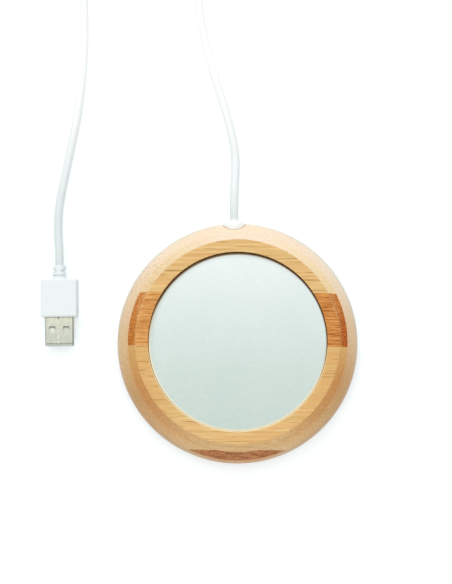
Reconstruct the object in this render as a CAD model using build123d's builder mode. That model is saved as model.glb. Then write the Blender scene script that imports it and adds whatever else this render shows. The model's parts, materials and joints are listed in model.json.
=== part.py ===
from build123d import *
import os
from math import cos, pi, radians, sin, sqrt, tan

# Electric mug warmer: a turned bamboo casing with a recessed aluminium warming plate,
# its film heater and wiring inside, and a cord with a USB-A plug.
# Millimetres. +Z is up, +Y is the side where the cord leaves, and the origin is the
# centre of the circle of feet on the surface that the warmer stands on.

# ---- Casing ----
casing_radius = 51.0  # at its widest
casing_top = 20.0  # height of the flat rim above the surface
stand_off = 1.2  # height of the casing's underside above the surface
widest_height = 4.5  # height at which the side is widest
side_width = 2.2  # from the widest place in to the foot of the bevel
bevel_width = 6.2
bevel_drop = 8.0
bevel_bulge = 0.25  # how far the bevel stands out of a straight cone
rim_width = 5.2  # flat rim, from the bevel to the plate's opening
rim_edge_round = 0.5
lip_thickness = 3.0  # wood above the plate's flange
lip_overhang = 2.0  # how far the lip reaches in over the cavity
ledge_width = 6.3  # ledge that the bottom cover is screwed to

# ---- Warming plate and heater ----
plate_recess = 0.8  # plate's face below the rim
plate_gap = 0.35  # round the plate in its opening
plate_thickness = 1.5
plate_edge_round = 0.6
plate_flange_clearance = 0.4  # flange to the cavity's wall
seal_thickness = 0.5
seal_clearance = 0.15
film_thickness = 0.2
track_thickness = 0.1
track_width = 2.0
track_turns = 8
track_inner_radius = 7.0
track_split = 3.0  # half the gap where the rings of the track are cut open
film_margin = 1.0  # film beyond the outermost ring of the track
film_gap = 2.15  # film's edge to the plate's skirt
terminal_radius = 1.6
terminal_hole_radius = 1.2

# ---- Insulation and carrier ----
pad_thickness = 4.0
pad_clearance = 0.35  # to the plate's skirt and the carrier's rim
carrier_floor = 1.2
wire_hole_radius = 1.2

# ---- Bottom cover ----
cover_thickness = 2.2
cover_clearance = 0.3
pillar_radius = 3.0
pillar_inset = 9.1  # pillar's middle in from the flange's edge
pillar_angle = 45.0
cover_hole_clearance = 0.25

# ---- Screws ----
cover_screw_count = 4
cover_screw_angle = 45.0
cover_screw_radius = 1.25
cover_screw_length = 8.0
cover_screw_head_radius = 2.3
cover_screw_head_height = 1.2
cover_screw_head_sunk = 0.1  # head below the cover's face
clamp_screw_radius = 0.9
clamp_screw_length = 5.0
clamp_screw_head_radius = 1.7
clamp_screw_head_height = 1.0
screw_hole_clearance = 0.05
head_clearance = 0.2
cross_share = 0.62  # reach of the cross recess across the head
cross_width = 0.6
cross_depth_share = 0.6

# ---- Feet ----
foot_radius = 5.0
foot_inset = 12.8  # foot's middle in from the cover's rebate
foot_sunk = 0.9  # part of the foot inside its pocket
foot_edge_round = 0.4
foot_clearance = 0.1

# ---- Cord and its bush ----
cord_radius = 1.8
cord_offset = -0.75  # cord's exit, sideways from the middle
bush_head_radius = 4.5
bush_proud = 1.6  # head beyond the casing's widest place
bush_head_depth = 8.6
bush_edge_round = 2.2
bush_neck_radius = 3.45
bush_carrier_gap = 0.15  # neck's inner end to the carrier's rim
bush_clearance = 0.1
bush_bore_clearance = 0.05

# ---- Cable clamp inside the casing ----
clamp_inset = 8.5  # clamp's middle in from the cavity's wall
clamp_length = 7.0
clamp_width = 14.0
clamp_screw_spacing = 9.4
clamp_ear_thickness = 1.4
clamp_arch_wall = 0.6
clamp_headroom = 0.6  # clamp's crown to the heater carrier above it
jacket_beyond_clamp = 3.5  # to where the jacket is stripped from the conductors

# ---- Thermal cut-out and wires ----
cutout_length = 14.0
cutout_width = 6.0
cutout_thickness = 3.0
cutout_corner = 0.8
cutout_middle_x = -8.0
cutout_clearance = 0.2
conductor_radius = 0.55
conductor_spacing = 1.3
lead_radius = 0.4
lead_bend = 1.5
conductor_bend = 2.5
sleeve_wall = 0.3
sleeve_clearance = 0.05
sleeve_length = 7.0
splice_lead = 5.0  # left splice, out from the cut-out's end
splice_y = 8.0
conductor_run = 6.0  # straight stretch of each conductor before it bends

# ---- Plug ----
plug_x = -75.6
plug_height = 4.0  # plug's axis above the surface
plug_tip = -0.3
shell_length = 18.3
shell_visible = 12.2
shell_width = 12.0
shell_height = 4.5
shell_wall = 0.32
shell_corner = 0.7
window_size = 2.6
window_spacing = 5.95
window_from_tip = 6.7
tongue_thickness = 1.85
tongue_side_gap = 0.1
tongue_setback = 0.5
contact_width = 1.0
contact_thickness = 0.2
contact_setback = 1.4
contact_inner_offset = 1.0
contact_outer_offset = 3.5
overmould_length = 16.4
overmould_width = 15.6
overmould_height = 8.0
overmould_corner = 0.9
overmould_edge_round = 1.0
relief_length = 5.6
relief_radius = 2.85
relief_groove = 0.7  # depth of the grooves of the strain relief
relief_groove_places = (1.35, 3.45)  # groove middles, from the overmould's back
relief_groove_widths = (0.5, 0.95)
relief_bridge = 1.7  # ungrooved stripe, level across the first groove and upright across the second
plug_fit = 0.05
inner_mould_length = 8.6
inner_mould_width = 11.0
inner_mould_height = 5.0
plug_wire_straight = 2.0  # at each end of the conductors in the plug
plug_wire_bend = 1.0

# ---- Free cord ----
coil_middle = (-40.0, 181.0)
coil_mean_radius = 21.0
coil_tracks = 3  # turns side by side
coil_layers = 2
coil_lead_in = 15.0  # straight stretch where the cord joins the coil
coil_corner = 1.2
lead_in_shrink = 0.05

os.makedirs("parts", exist_ok=True)


def save(piece, name):
    """Label a finished piece and write its STEP file."""
    piece.part.label = name
    export_step(piece.part, f"parts/{name}.step")


def corner_radii(points):
    """Bend radius at each corner of a cord's route: 0.45 of the shorter run over tan(half turn)."""
    places = [Vector(*point) for point in points]
    runs = [end - start for start, end in zip(places, places[1:])]
    return [
        0.45 * min(a.length, b.length) / tan(radians(a.get_angle(b) / 2))
        for a, b in zip(runs, runs[1:])
    ]


def ring_places(radius, count, first_angle):
    """Centres of count places on a circle."""
    angles = [radians(first_angle + 360 / count * i) for i in range(count)]
    return [(radius * cos(a), radius * sin(a)) for a in angles]


# ---- Radii and heights that follow from the sizes above ----
bevel_foot_radius = casing_radius - side_width
crease_radius = bevel_foot_radius - bevel_width
opening_radius = crease_radius - rim_width
cavity_radius = opening_radius + lip_overhang
rebate_radius = cavity_radius + ledge_width
bevel_foot_height = casing_top - bevel_drop
bottom_round = widest_height - stand_off
lip_under = casing_top - lip_thickness
ledge_height = stand_off + cover_thickness

plate_top = casing_top - plate_recess
plate_under = plate_top - plate_thickness
plate_radius = opening_radius - plate_gap
flange_radius = cavity_radius - plate_flange_clearance
flange_top = lip_under - seal_thickness
flange_under = flange_top - plate_thickness
skirt_radius = plate_radius - plate_thickness

track_top = plate_under - film_thickness
track_under = track_top - track_thickness
backing_under = track_under - film_thickness
film_radius = skirt_radius - film_gap
track_outer_radius = film_radius - film_margin - track_width / 2
track_pitch = (track_outer_radius - track_inner_radius) / (track_turns - 1)
terminal_y = -(track_split + terminal_radius)
terminal_places = [
    (sqrt(ring**2 - terminal_y**2), terminal_y) for ring in (track_inner_radius, track_outer_radius)
]

pad_under = backing_under - pad_thickness
pad_radius = skirt_radius - pad_clearance
carrier_under = pad_under - carrier_floor
carrier_inner_radius = pad_radius + pad_clearance

cord_height = carrier_under - clamp_headroom - clamp_arch_wall - cord_radius
wiring_height = cord_height

screw_circle = cavity_radius + ledge_width / 2
screw_places = ring_places(screw_circle, cover_screw_count, cover_screw_angle)
head_pocket = cover_screw_head_height + cover_screw_head_sunk
pillar_places = ring_places(flange_radius - pillar_inset, 4, pillar_angle)
foot_names = ["foot_right", "foot_back", "foot_left", "foot_front"]
foot_places = ring_places(rebate_radius - foot_inset, len(foot_names), 0.0)
pocket_top = stand_off + foot_sunk

bush_face = casing_radius + bush_proud
bush_step = bush_face - bush_head_depth
bush_inner_end = flange_radius + bush_carrier_gap
clamp_middle = cavity_radius - clamp_inset
jacket_end = clamp_middle - clamp_length / 2 - jacket_beyond_clamp
clamp_ear_top = cord_height + clamp_ear_thickness
clamp_places = [(cord_offset + side * clamp_screw_spacing / 2, clamp_middle) for side in (-1, 1)]

cutout_top = backing_under
cutout_middle_z = cutout_top - cutout_thickness / 2
cutout_left = cutout_middle_x - cutout_length / 2
cutout_right = cutout_middle_x + cutout_length / 2
cutout_y = terminal_y
splice_x_left = cutout_left - splice_lead
splice_x_right = terminal_places[1][0]
wire_places = [(splice_x_left, cutout_y), (splice_x_right, terminal_y)]

# ---- Bamboo casing: turned ring with a lip, a cavity, a rebate and the stepped cord hole ----
with BuildPart() as bamboo_casing:
    with BuildSketch(Plane.XZ) as casing_section:
        with BuildLine():
            bevel = ThreePointArc(
                (crease_radius, casing_top),
                (
                    (crease_radius + bevel_foot_radius) / 2 + bevel_bulge,
                    (casing_top + bevel_foot_height) / 2,
                ),
                (bevel_foot_radius, bevel_foot_height),
            )
            side = TangentArc(bevel @ 1, (casing_radius, widest_height), tangent=bevel % 1)
            under = RadiusArc(side @ 1, (casing_radius - bottom_round, stand_off), bottom_round)
            Polyline(
                under @ 1,
                (rebate_radius, stand_off),
                (rebate_radius, ledge_height),
                (cavity_radius, ledge_height),
                (cavity_radius, lip_under),
                (opening_radius, lip_under),
                (opening_radius, casing_top),
                bevel @ 0,
            )
        make_face()
    revolve(axis=Axis.Z)
    top_circles = bamboo_casing.edges().filter_by(GeomType.CIRCLE).group_by(Axis.Z)[-1]
    fillet(top_circles.sort_by(SortBy.RADIUS)[0], rim_edge_round)
    with BuildSketch(Plane.XZ.offset(-bush_step)):
        with Locations((cord_offset, cord_height)):
            Circle(bush_head_radius + bush_clearance)
    extrude(amount=-casing_radius, mode=Mode.SUBTRACT)
    with BuildSketch(Plane.XZ):
        with Locations((cord_offset, cord_height)):
            Circle(bush_neck_radius + bush_clearance)
    extrude(amount=-casing_radius, mode=Mode.SUBTRACT)
    with BuildSketch(Plane.XY.offset(ledge_height)):
        with Locations(*screw_places):
            Circle(cover_screw_radius + screw_hole_clearance)
    extrude(amount=cover_screw_length, mode=Mode.SUBTRACT)
save(bamboo_casing, "bamboo_casing")

# ---- Warming plate: pressed aluminium hat with a flange under the casing's lip ----
with BuildPart() as warming_plate:
    with BuildSketch(Plane.XZ):
        with BuildLine():
            Polyline(
                (0, plate_under),
                (0, plate_top),
                (plate_radius, plate_top),
                (plate_radius, flange_top),
                (flange_radius, flange_top),
                (flange_radius, flange_under),
                (skirt_radius, flange_under),
                (skirt_radius, plate_under),
                close=True,
            )
        make_face()
    revolve(axis=Axis.Z)
    plate_edge = warming_plate.edges().filter_by(GeomType.CIRCLE).group_by(Axis.Z)[-1]
    fillet(plate_edge, plate_edge_round)
save(warming_plate, "warming_plate")

with BuildPart() as plate_seal_ring:
    with BuildSketch(Plane.XY.offset(flange_top)):
        Circle(flange_radius)
        Circle(plate_radius + seal_clearance, mode=Mode.SUBTRACT)
    extrude(amount=seal_thickness)
save(plate_seal_ring, "plate_seal_ring")

# ---- Heater: film, etched track and backing, stuck under the plate ----
with BuildPart() as heater_film:
    with BuildSketch(Plane.XY.offset(track_top)):
        Circle(film_radius)
    extrude(amount=film_thickness)
save(heater_film, "heater_film")

with BuildPart() as heater_track:
    with BuildSketch(Plane.XY.offset(track_under)):
        for turn in reversed(range(track_turns)):
            ring_radius = track_inner_radius + track_pitch * turn
            Circle(ring_radius + track_width / 2)
            Circle(ring_radius - track_width / 2, mode=Mode.SUBTRACT)
        with Locations((track_outer_radius / 2 + track_inner_radius / 2, 0)):
            Rectangle(
                track_outer_radius - track_inner_radius + 2 * track_pitch,
                2 * track_split,
                mode=Mode.SUBTRACT,
            )
        for turn in range(track_turns - 1):
            bridge_side = 1 if turn % 2 == 0 else -1
            bridge_x = track_inner_radius + track_pitch * (turn + 0.5)
            with Locations((bridge_x, bridge_side * (track_split + track_width / 2))):
                Rectangle(track_pitch, track_width)
        with Locations(*terminal_places):
            Circle(terminal_radius)
    extrude(amount=track_thickness)
save(heater_track, "heater_track")

with BuildPart() as heater_backing:
    with BuildSketch(Plane.XY.offset(backing_under)):
        Circle(film_radius)
        with Locations(*terminal_places):
            Circle(terminal_hole_radius, mode=Mode.SUBTRACT)
    extrude(amount=film_thickness)
save(heater_backing, "heater_backing")

# ---- Insulation pad: disc with a pocket for the cut-out and a channel for its lead ----
channel_end = terminal_places[0][0] + terminal_hole_radius
with BuildPart() as insulation_pad:
    with BuildSketch(Plane.XY.offset(pad_under)):
        Circle(pad_radius)
        with Locations(*wire_places):
            Circle(wire_hole_radius, mode=Mode.SUBTRACT)
    extrude(amount=pad_thickness)
    with BuildSketch(Plane.XY.offset(backing_under - cutout_thickness - cutout_clearance)):
        with Locations((cutout_middle_x, cutout_y)):
            Rectangle(cutout_length + 2 * cutout_clearance, cutout_width + 2 * cutout_clearance)
        with Locations(((channel_end + splice_x_left) / 2, cutout_y)):
            Rectangle(channel_end - splice_x_left, 2 * terminal_hole_radius)
    extrude(amount=pad_thickness, mode=Mode.SUBTRACT)
save(insulation_pad, "insulation_pad")

# ---- Heater carrier: pan that holds the pad and presses the plate's flange up ----
with BuildPart() as heater_carrier:
    with BuildSketch(Plane.XY.offset(carrier_under)):
        Circle(flange_radius)
        with Locations(*wire_places):
            Circle(wire_hole_radius, mode=Mode.SUBTRACT)
    extrude(amount=flange_under - carrier_under)
    with BuildSketch(Plane.XY.offset(pad_under)):
        Circle(carrier_inner_radius)
    extrude(amount=flange_under - pad_under, mode=Mode.SUBTRACT)
save(heater_carrier, "heater_carrier")

# ---- Thermal cut-out: flat metal case against the heater's backing ----
with BuildPart() as thermal_cutout:
    with BuildSketch(Plane.XY.offset(cutout_top - cutout_thickness)):
        with Locations((cutout_middle_x, cutout_y)):
            RectangleRounded(cutout_length, cutout_width, cutout_corner)
    extrude(amount=cutout_thickness)
save(thermal_cutout, "thermal_cutout")


# ---- Wires ----
def wire(points, radius, bend):
    """Round wire along straight runs with bends of one radius."""
    with BuildPart() as run:
        with BuildLine() as path:
            FilletPolyline(*points, radius=bend)
        with BuildSketch(Plane(origin=path.line @ 0, z_dir=path.line % 0)):
            Circle(radius)
        sweep()
    return run.part


with BuildPart() as cutout_leads:
    add(
        wire(
            [
                (cutout_left, cutout_y, cutout_middle_z),
                (splice_x_left, cutout_y, cutout_middle_z),
                (splice_x_left, cutout_y, wiring_height),
                (splice_x_left, splice_y, wiring_height),
            ],
            lead_radius,
            lead_bend,
        )
    )
    add(
        wire(
            [
                (cutout_right, cutout_y, cutout_middle_z),
                (*terminal_places[0], cutout_middle_z),
                (*terminal_places[0], track_under),
            ],
            lead_radius,
            lead_bend,
        )
    )
save(cutout_leads, "cutout_leads")

with BuildPart() as heater_lead:
    add(
        wire(
            [
                (splice_x_right, splice_y, wiring_height),
                (splice_x_right, terminal_y, wiring_height),
                (splice_x_right, terminal_y, track_under),
            ],
            lead_radius,
            lead_bend,
        )
    )
save(heater_lead, "heater_lead")

conductor_straight = jacket_end - conductor_run
conductor_turn = splice_y + conductor_run
with BuildPart() as conductor_red:
    red_x = cord_offset - conductor_spacing / 2
    add(
        wire(
            [
                (red_x, jacket_end, wiring_height),
                (red_x, conductor_straight, wiring_height),
                (splice_x_left, conductor_turn, wiring_height),
                (splice_x_left, splice_y, wiring_height),
            ],
            conductor_radius,
            conductor_bend,
        )
    )
save(conductor_red, "conductor_red")

with BuildPart() as conductor_black:
    black_x = cord_offset + conductor_spacing / 2
    add(
        wire(
            [
                (black_x, jacket_end, wiring_height),
                (black_x, conductor_straight, wiring_height),
                (splice_x_right, conductor_turn, wiring_height),
                (splice_x_right, splice_y, wiring_height),
            ],
            conductor_radius,
            conductor_bend,
        )
    )
save(conductor_black, "conductor_black")

with BuildPart() as splice_sleeves:
    with BuildSketch(Plane.XZ.offset(-(splice_y - sleeve_length / 2))):
        with Locations((splice_x_left, wiring_height), (splice_x_right, wiring_height)):
            Circle(conductor_radius + sleeve_clearance + sleeve_wall)
            Circle(conductor_radius + sleeve_clearance, mode=Mode.SUBTRACT)
    extrude(amount=-sleeve_length)
save(splice_sleeves, "splice_sleeves")

# ---- Bottom cover: disc in the casing's rebate, with pillars under the carrier and a cable cradle ----
with BuildPart() as bottom_cover:
    with BuildSketch(Plane.XY.offset(stand_off)):
        Circle(rebate_radius - cover_clearance)
    extrude(amount=cover_thickness)
    with BuildSketch(Plane.XY.offset(ledge_height)):
        with Locations(*pillar_places):
            Circle(pillar_radius)
    extrude(amount=carrier_under - ledge_height)
    with BuildSketch(Plane.XY.offset(ledge_height)):
        with Locations((cord_offset, clamp_middle)):
            Rectangle(clamp_width, clamp_length)
    extrude(amount=cord_height - ledge_height)
    with BuildSketch(Plane.XZ.offset(-(clamp_middle - clamp_length))):
        with Locations((cord_offset, cord_height)):
            Circle(cord_radius)
    extrude(amount=-2 * clamp_length, mode=Mode.SUBTRACT)
    with BuildSketch(Plane.XY.offset(cord_height)):
        with Locations(*clamp_places):
            Circle(clamp_screw_radius + screw_hole_clearance)
    extrude(amount=clamp_ear_thickness - clamp_screw_length, mode=Mode.SUBTRACT)
    with BuildSketch(Plane.XY.offset(stand_off)):
        with Locations(*screw_places):
            Circle(cover_screw_radius + cover_hole_clearance)
    extrude(amount=cover_thickness, mode=Mode.SUBTRACT)
    with BuildSketch(Plane.XY.offset(stand_off)):
        with Locations(*screw_places):
            Circle(cover_screw_head_radius + head_clearance)
    extrude(amount=head_pocket, mode=Mode.SUBTRACT)
    with BuildSketch(Plane.XY.offset(stand_off)):
        with Locations(*foot_places):
            Circle(foot_radius + foot_clearance)
    extrude(amount=foot_sunk, mode=Mode.SUBTRACT)
save(bottom_cover, "bottom_cover")


def screws(places, head_face, into, radius, length, head_radius, head_height):
    """Group of cross-head screws whose heads seat at head_face; into is +1 for screws that go up."""
    with BuildPart() as group:
        with BuildSketch(Plane.XY.offset(head_face)):
            with Locations(*places):
                Circle(head_radius)
        extrude(amount=-into * head_height)
        with BuildSketch(Plane.XY.offset(head_face)):
            with Locations(*places):
                Circle(radius)
        extrude(amount=into * (length - head_height))
        with BuildSketch(Plane.XY.offset(head_face - into * head_height)):
            with Locations(*places):
                Rectangle(2 * cross_share * head_radius, cross_width)
                Rectangle(cross_width, 2 * cross_share * head_radius)
        extrude(amount=into * cross_depth_share * head_height, mode=Mode.SUBTRACT)
    return group


cover_screws = screws(
    screw_places,
    stand_off + head_pocket,
    1,
    cover_screw_radius,
    cover_screw_length,
    cover_screw_head_radius,
    cover_screw_head_height,
)
save(cover_screws, "cover_screws")

# ---- Rubber feet, each in its pocket ----
for foot_name, foot_place in zip(foot_names, foot_places):
    with BuildPart() as foot:
        with BuildSketch(Plane.XY):
            with Locations(foot_place):
                Circle(foot_radius)
        extrude(amount=pocket_top)
        fillet(foot.edges().group_by(Axis.Z)[0], foot_edge_round)
    save(foot, foot_name)

# ---- Cord bush: domed head in the casing's counterbore, neck through the wall ----
with BuildPart() as cord_bush:
    with BuildSketch(Plane.XZ.offset(-bush_step)):
        with Locations((cord_offset, cord_height)):
            Circle(bush_head_radius)
    extrude(amount=-bush_head_depth)
    fillet(cord_bush.edges().group_by(Axis.Y)[-1], bush_edge_round)
    with BuildSketch(Plane.XZ.offset(-bush_inner_end)):
        with Locations((cord_offset, cord_height)):
            Circle(bush_neck_radius)
    extrude(amount=bush_inner_end - bush_step)
    with BuildSketch(Plane.XZ.offset(-bush_inner_end)):
        with Locations((cord_offset, cord_height)):
            Circle(cord_radius + bush_bore_clearance)
    extrude(amount=bush_inner_end - bush_face, mode=Mode.SUBTRACT)
save(cord_bush, "cord_bush")

# ---- Cord inside the casing, from the bush's face to the stripped end ----
with BuildPart() as cord_inner_end:
    with BuildSketch(Plane.XZ.offset(-jacket_end)):
        with Locations((cord_offset, cord_height)):
            Circle(cord_radius)
    extrude(amount=jacket_end - bush_face)
save(cord_inner_end, "cord_inner_end")

# ---- Cable clamp: saddle over the cord, screwed to the cradle ----
with BuildPart() as cable_clamp:
    with BuildSketch(Plane.XY.offset(cord_height)):
        with Locations((cord_offset, clamp_middle)):
            Rectangle(clamp_width, clamp_length)
    extrude(amount=clamp_ear_thickness)
    with BuildSketch(Plane.XZ.offset(-(clamp_middle - clamp_length / 2))):
        with Locations((cord_offset, cord_height)):
            Circle(cord_radius + clamp_arch_wall)
    extrude(amount=-clamp_length)
    split(bisect_by=Plane.XY.offset(cord_height), keep=Keep.TOP)
    with BuildSketch(Plane.XZ.offset(-(clamp_middle - clamp_length))):
        with Locations((cord_offset, cord_height)):
            Circle(cord_radius)
    extrude(amount=-2 * clamp_length, mode=Mode.SUBTRACT)
    with BuildSketch(Plane.XY.offset(cord_height)):
        with Locations(*clamp_places):
            Circle(clamp_screw_radius + cover_hole_clearance)
    extrude(amount=clamp_ear_thickness, mode=Mode.SUBTRACT)
save(cable_clamp, "cable_clamp")

clamp_screws = screws(
    clamp_places,
    clamp_ear_top,
    -1,
    clamp_screw_radius,
    clamp_screw_length,
    clamp_screw_head_radius,
    clamp_screw_head_height,
)
save(clamp_screws, "clamp_screws")

# ---- Plug ----
shell_rear = plug_tip + shell_length
overmould_front = plug_tip + shell_visible
overmould_back = overmould_front + overmould_length
relief_end = overmould_back + relief_length
relief_bridges = [(2 * relief_radius, relief_bridge), (relief_bridge, 2 * relief_radius)]
inner_mould_back = shell_rear + inner_mould_length
inside_width = shell_width - 2 * shell_wall
inside_height = shell_height - 2 * shell_wall
tongue_width = inside_width - 2 * (shell_corner - shell_wall + tongue_side_gap)
tongue_top = plug_height + inside_height / 2
tongue_under = tongue_top - tongue_thickness
tongue_front = plug_tip + tongue_setback
contact_front = plug_tip + contact_setback
contact_offsets = [
    side * offset for side in (-1, 1) for offset in (contact_inner_offset, contact_outer_offset)
]


def plug_plane(y):
    """Upright plane across the plug at y, with its local origin on the plug's axis."""
    return Plane(origin=(plug_x, y, plug_height), x_dir=(1, 0, 0), z_dir=(0, -1, 0))


with BuildPart() as plug_shell:
    with BuildSketch(plug_plane(plug_tip)):
        RectangleRounded(shell_width, shell_height, shell_corner)
        RectangleRounded(inside_width, inside_height, shell_corner - shell_wall, mode=Mode.SUBTRACT)
    extrude(amount=-shell_length)
    with BuildSketch(Plane.XY.offset(plug_height - shell_height)):
        with Locations((plug_x, plug_tip + window_from_tip)):
            with GridLocations(window_spacing, 1, 2, 1):
                Rectangle(window_size, window_size)
    extrude(amount=2 * shell_height, mode=Mode.SUBTRACT)
save(plug_shell, "plug_shell")

with BuildPart() as plug_tongue:
    with BuildSketch(plug_plane(tongue_front)):
        with Locations((0, (inside_height - tongue_thickness) / 2)):
            Rectangle(tongue_width, tongue_thickness)
    extrude(amount=tongue_front - shell_rear)
save(plug_tongue, "plug_tongue")

with BuildPart() as plug_contacts:
    with BuildSketch(Plane.XY.offset(tongue_under - contact_thickness)):
        with Locations((plug_x, (contact_front + shell_rear) / 2)):
            with Locations(*[(offset, 0) for offset in contact_offsets]):
                Rectangle(contact_width, shell_rear - contact_front)
    extrude(amount=contact_thickness)
save(plug_contacts, "plug_contacts")

plug_wire_routes = [
    [
        (plug_x + side * conductor_spacing / 2, inner_mould_back, plug_height),
        (plug_x + side * conductor_spacing / 2, inner_mould_back - plug_wire_straight, plug_height),
        (plug_x + side * contact_outer_offset, shell_rear + plug_wire_straight, plug_height),
        (plug_x + side * contact_outer_offset, shell_rear, plug_height),
    ]
    for side in (-1, 1)
]
with BuildPart() as plug_conductors:
    for route in plug_wire_routes:
        add(wire(route, conductor_radius, plug_wire_bend))
save(plug_conductors, "plug_conductors")

with BuildPart() as plug_inner_mould:
    with BuildSketch(plug_plane(shell_rear)):
        RectangleRounded(inner_mould_width, inner_mould_height, shell_corner)
    extrude(amount=-inner_mould_length)
    for route in plug_wire_routes:
        add(wire(route, conductor_radius + plug_fit, plug_wire_bend), mode=Mode.SUBTRACT)
save(plug_inner_mould, "plug_inner_mould")

with BuildPart() as plug_overmould:
    with BuildSketch(plug_plane(overmould_front)):
        RectangleRounded(overmould_width, overmould_height, overmould_edge_round)
    extrude(amount=-overmould_length)
    upright_edges = plug_overmould.edges().filter_by(Axis.Z)
    fillet(upright_edges, overmould_corner)
    with BuildSketch(plug_plane(overmould_back)):
        Circle(relief_radius)
    extrude(amount=-relief_length)
    for place, width, bridge in zip(relief_groove_places, relief_groove_widths, relief_bridges):
        with BuildSketch(plug_plane(overmould_back + place - width / 2)):
            Circle(relief_radius)
            Circle(relief_radius - relief_groove, mode=Mode.SUBTRACT)
            Rectangle(*bridge, mode=Mode.SUBTRACT)
        extrude(amount=-width, mode=Mode.SUBTRACT)
    with BuildSketch(plug_plane(overmould_front)):
        RectangleRounded(shell_width + 2 * plug_fit, shell_height + 2 * plug_fit, shell_corner + plug_fit)
    extrude(amount=overmould_front - shell_rear, mode=Mode.SUBTRACT)
    with BuildSketch(plug_plane(shell_rear)):
        RectangleRounded(
            inner_mould_width + 2 * plug_fit, inner_mould_height + 2 * plug_fit, shell_corner + plug_fit
        )
    extrude(amount=-inner_mould_length, mode=Mode.SUBTRACT)
    with BuildSketch(plug_plane(inner_mould_back)):
        Circle(cord_radius + plug_fit)
    extrude(amount=inner_mould_back - relief_end, mode=Mode.SUBTRACT)
save(plug_overmould, "plug_overmould")

with BuildPart() as plug_cord_end:
    with BuildSketch(plug_plane(inner_mould_back)):
        Circle(cord_radius)
    extrude(amount=inner_mould_back - relief_end)
save(plug_cord_end, "plug_cord_end")

# ---- Free cord: from the bush to a neat coil, and from the coil to the plug ----
coil_x, coil_y = coil_middle
coil_outer_track = coil_mean_radius + cord_radius * (coil_tracks - 1)
coil_top_track = cord_radius * (2 * coil_layers - 1)
coil_front = coil_y - coil_lead_in

casing_route = [
    (cord_offset, bush_face, cord_height),
    (cord_offset, 61.0, cord_height),
    (-0.1, 71.0, 5.0),
    (0.4, 81.5, cord_radius),
    (-2.5, 96.0, cord_radius),
    (-6.9, 110.5, cord_radius),
    (-11.0, 125.0, cord_radius),
    (-14.1, 139.5, cord_radius),
    (coil_x + coil_outer_track, 153.5, cord_radius),
    (coil_x + coil_outer_track, coil_front, cord_radius),
]
plug_route = [
    (coil_x - coil_outer_track, coil_front, coil_top_track),
    (coil_x - coil_outer_track, 154.5, coil_top_track),
    (-64.3, 141.5, 3.2),
    (-64.7, 128.5, cord_radius),
    (-65.7, 115.0, cord_radius),
    (-67.3, 101.0, cord_radius),
    (-70.2, 87.0, cord_radius),
    (-73.2, 73.0, cord_radius),
    (-76.0, 60.0, cord_radius),
    (-76.4, 48.5, cord_radius),
    (plug_x, 40.5, plug_height),
    (plug_x, relief_end, plug_height),
]
for route_name, route in (("casing run", casing_route), ("plug run", plug_route)):
    print(route_name, "bend radii:", [round(radius, 1) for radius in corner_radii(route)])

with BuildPart() as cord_casing_run:
    with BuildLine() as casing_run_path:
        FilletPolyline(*casing_route, radius=corner_radii(casing_route))
    with BuildSketch(Plane(origin=casing_run_path.line @ 0, z_dir=casing_run_path.line % 0)):
        Circle(cord_radius)
    sweep()
save(cord_casing_run, "cord_casing_run")

with BuildPart() as cord_plug_run:
    with BuildLine() as plug_run_path:
        FilletPolyline(*plug_route, radius=corner_radii(plug_route))
    with BuildSketch(Plane(origin=plug_run_path.line @ 0, z_dir=plug_run_path.line % 0)):
        Circle(cord_radius)
    sweep()
save(cord_plug_run, "cord_plug_run")

for run_name, run, path in (
    ("casing run", cord_casing_run, casing_run_path),
    ("plug run", cord_plug_run, plug_run_path),
):
    length = sum(edge.length for edge in path.edges())
    share = run.part.volume / (pi * cord_radius**2 * length)
    print(run_name, "length", round(length, 1), "volume over section x length", round(share, 4))

# Coil: ring as thick as its turns, with the two straight ends where the runs join it.
with BuildPart() as cord_coil:
    with BuildSketch(Plane(origin=(coil_x, coil_y, 0), x_dir=(1, 0, 0), z_dir=(0, -1, 0))):
        with Locations((coil_mean_radius, coil_layers * cord_radius)):
            RectangleRounded(2 * cord_radius * coil_tracks, 2 * cord_radius * coil_layers, coil_corner)
    revolve(axis=Axis((coil_x, coil_y, 0), (0, 0, 1)))
    for side, height in ((1, cord_radius), (-1, coil_top_track)):
        with BuildSketch(Plane.XZ.offset(-coil_front)):
            with Locations((coil_x + side * coil_outer_track, height)):
                Circle(cord_radius - lead_in_shrink)
        extrude(amount=-coil_lead_in)
save(cord_coil, "cord_coil")
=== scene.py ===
"""Looks of a round bamboo mug warmer with a satin warming plate, a white cord and a USB-A plug."""

import json
import math

import bmesh
import bpy
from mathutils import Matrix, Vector


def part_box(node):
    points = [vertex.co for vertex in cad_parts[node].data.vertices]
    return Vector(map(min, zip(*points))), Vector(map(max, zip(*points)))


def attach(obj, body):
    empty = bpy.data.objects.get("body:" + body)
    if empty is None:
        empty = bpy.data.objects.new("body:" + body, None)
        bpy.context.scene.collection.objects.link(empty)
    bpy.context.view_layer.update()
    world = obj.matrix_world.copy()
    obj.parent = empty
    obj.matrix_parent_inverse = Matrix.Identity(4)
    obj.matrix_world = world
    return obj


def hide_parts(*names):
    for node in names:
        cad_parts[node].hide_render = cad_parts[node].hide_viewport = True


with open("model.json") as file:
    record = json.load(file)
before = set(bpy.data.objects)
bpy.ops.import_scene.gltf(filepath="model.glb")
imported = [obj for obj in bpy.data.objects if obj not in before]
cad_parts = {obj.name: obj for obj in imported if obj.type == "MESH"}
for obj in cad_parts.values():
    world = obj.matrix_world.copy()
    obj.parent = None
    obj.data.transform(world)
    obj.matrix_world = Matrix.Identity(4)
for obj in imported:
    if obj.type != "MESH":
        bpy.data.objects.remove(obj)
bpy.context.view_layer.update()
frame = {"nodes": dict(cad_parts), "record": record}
nodes = frame["nodes"]

MM = 0.001
BODY = "root"

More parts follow.
